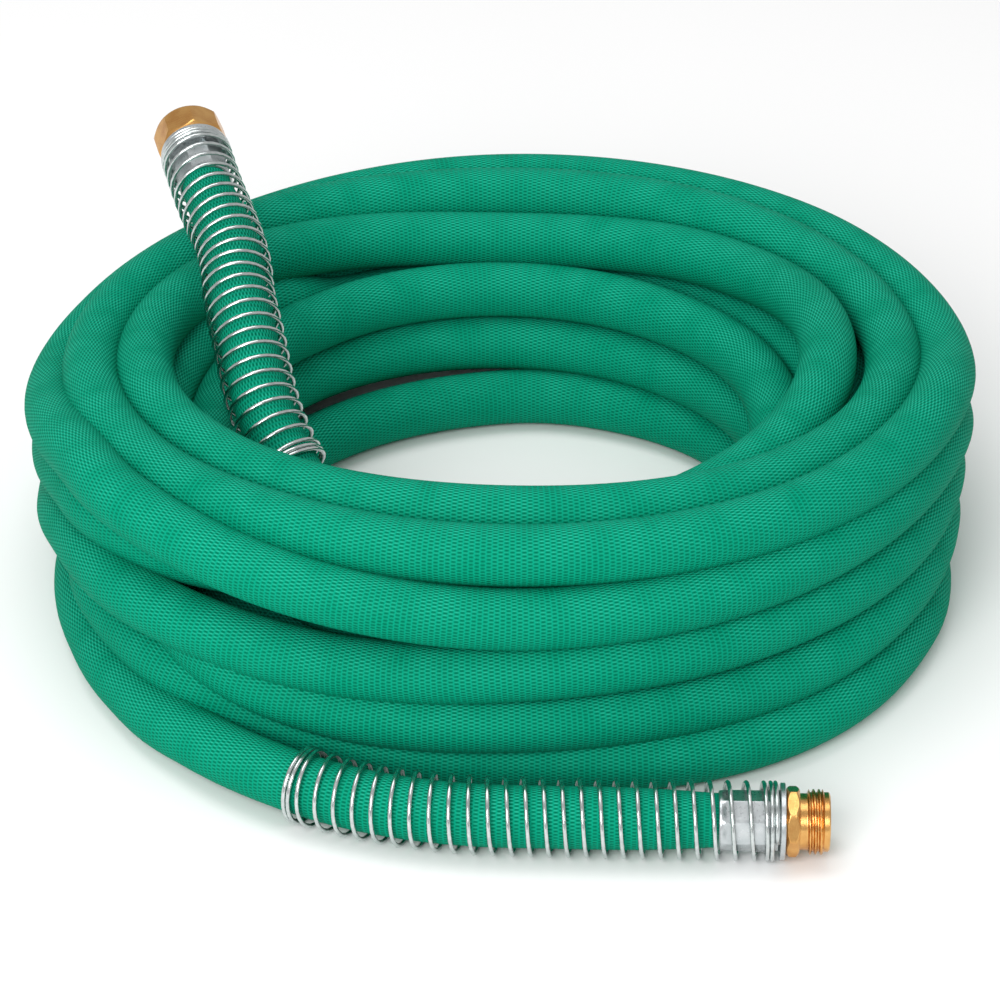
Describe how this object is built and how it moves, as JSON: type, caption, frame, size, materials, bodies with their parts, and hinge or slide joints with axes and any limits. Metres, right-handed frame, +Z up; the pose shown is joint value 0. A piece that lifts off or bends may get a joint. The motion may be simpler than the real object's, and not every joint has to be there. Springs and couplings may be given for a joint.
{
  "type": "garden hose",
  "caption": "Fabric-jacketed garden hose in a round coil, with crimped ferrules, open spring guards, a male thread coupling and a swivel nut coupling",
  "frame": {"origin": "on the floor, at the middle of the footprint of the coil and its male end", "axes": "+Z up along the coil's axis; -Y towards the side where the male end lies on the floor; +X the way that the male coupling points"},
  "size_m": [0.4282, 0.4768, 0.1642],
  "materials": {
    "woven_jacket": "plain-weave polyester jacket, emerald green, low sheen",
    "spring_steel": "bright plated spring wire",
    "ferrule_steel": "satin crimped sleeve",
    "brass": "machined and polished",
    "washer_rubber": "matt black"
  },
  "bodies": {
    "hose": {"hose_coil": "woven_jacket", "male_tail": "woven_jacket", "swivel_tail": "woven_jacket", "male_spring_guard": "spring_steel", "swivel_spring_guard": "spring_steel", "male_ferrule": "ferrule_steel", "swivel_ferrule": "ferrule_steel", "male_fitting": "brass", "swivel_stem": "brass"},
    "swivel_nut": {"coupling_nut": "brass", "hose_washer": "washer_rubber"}
  },
  "joints": [
    {"name": "nut_swivel", "type": "hinge", "parent": "hose", "child": "swivel_nut", "pos_m": [-0.14587, 0.15052, 0.14786], "axis": [-0.2541, 0.9482, 0.1908], "continuous": true}
  ]
}
